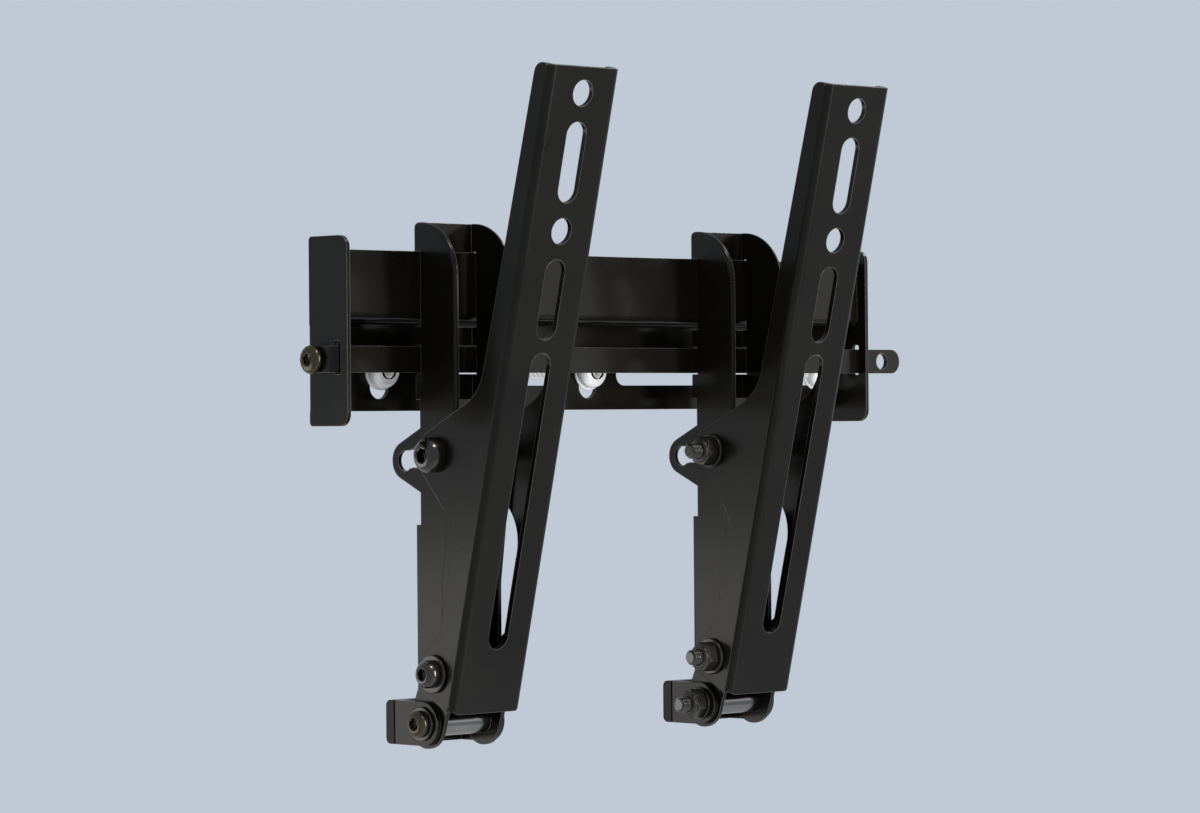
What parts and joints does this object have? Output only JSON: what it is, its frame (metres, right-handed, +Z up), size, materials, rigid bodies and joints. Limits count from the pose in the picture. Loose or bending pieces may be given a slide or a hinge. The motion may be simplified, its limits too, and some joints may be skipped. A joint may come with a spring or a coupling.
{
  "type": "tilting tv wall bracket",
  "caption": "Tilting wall bracket for a small television: a folded rail, hook brackets, a locking bar and slotted tilting arms.",
  "frame": {"origin": "on the wall plane, midway between the plate's end tabs and at their mid height", "axes": "X along the wall to the viewer's right, Z up, the wall is the plane y = 0 and the bracket stands out towards -Y"},
  "size_m": [0.3051, 0.127, 0.2456],
  "materials": {
    "powder_coat": "satin black powder coat on folded steel sheet",
    "black_bolt": "glossy black plated steel",
    "black_nut": "black plated steel",
    "black_washer": "black plated steel",
    "bright_zinc": "bright zinc plate",
    "olive_zinc": "dark yellow zinc plate",
    "spacer_steel": "polished dark plated tube",
    "pad_rubber": "moulded black rubber"
  },
  "bodies": {
    "wall": {"wall_plate": "powder_coat", "wall_screws": "bright_zinc", "wall_washers": "bright_zinc"},
    "bar": {"locking_bar": "powder_coat", "bar_screw": "olive_zinc"},
    "left_hook": {"left_hook_bracket": "powder_coat", "left_foot_spacer": "spacer_steel", "left_foot_bolt": "black_bolt", "left_foot_washer": "black_washer", "left_foot_nut": "black_nut", "left_pivot_bolt": "black_bolt", "left_pivot_washers": "black_washer", "left_pivot_nut": "black_nut"},
    "left_arm": {"left_tilt_arm": "powder_coat", "left_tilt_bolt": "black_bolt", "left_tilt_washer": "black_washer", "left_tilt_nut": "black_nut"},
    "left_foot": {"left_foot_bracket": "powder_coat", "left_foot_pad": "pad_rubber"},
    "right_hook": {"right_hook_bracket": "powder_coat", "right_foot_spacer": "spacer_steel", "right_foot_bolt": "black_bolt", "right_foot_washer": "black_washer", "right_foot_nut": "black_nut", "right_pivot_bolt": "black_bolt", "right_pivot_washers": "black_washer", "right_pivot_nut": "black_nut"},
    "right_arm": {"right_tilt_arm": "powder_coat", "right_tilt_bolt": "black_bolt", "right_tilt_washer": "black_washer", "right_tilt_nut": "black_nut"},
    "right_foot": {"right_foot_bracket": "powder_coat", "right_foot_pad": "pad_rubber"}
  },
  "joints": [
    {"name": "bar_slide", "type": "slide", "parent": "wall", "child": "bar", "axis": [-1, 0, 0], "range_m": [0, 0.27]},
    {"name": "left_hook_slide", "type": "slide", "parent": "wall", "child": "left_hook", "axis": [1, 0, 0], "range_m": [-0.033, 0.04]},
    {"name": "left_arm_tilt", "type": "hinge", "parent": "left_hook", "child": "left_arm", "pos_m": [-0.085, -0.0268, -0.1244], "axis": [1, 0, 0], "range_deg": [-13.5, 0]},
    {"name": "left_foot_swing", "type": "hinge", "parent": "left_hook", "child": "left_foot", "pos_m": [-0.085, -0.0198, -0.1428], "axis": [1, 0, 0], "range_deg": [-90, 20]},
    {"name": "right_hook_slide", "type": "slide", "parent": "wall", "child": "right_hook", "axis": [1, 0, 0], "range_m": [-0.04, 0.0595]},
    {"name": "right_arm_tilt", "type": "hinge", "parent": "right_hook", "child": "right_arm", "pos_m": [0.0585, -0.0268, -0.1244], "axis": [1, 0, 0], "range_deg": [-13.5, 0]},
    {"name": "right_foot_swing", "type": "hinge", "parent": "right_hook", "child": "right_foot", "pos_m": [0.0585, -0.0198, -0.1428], "axis": [1, 0, 0], "range_deg": [-90, 20]}
  ]
}
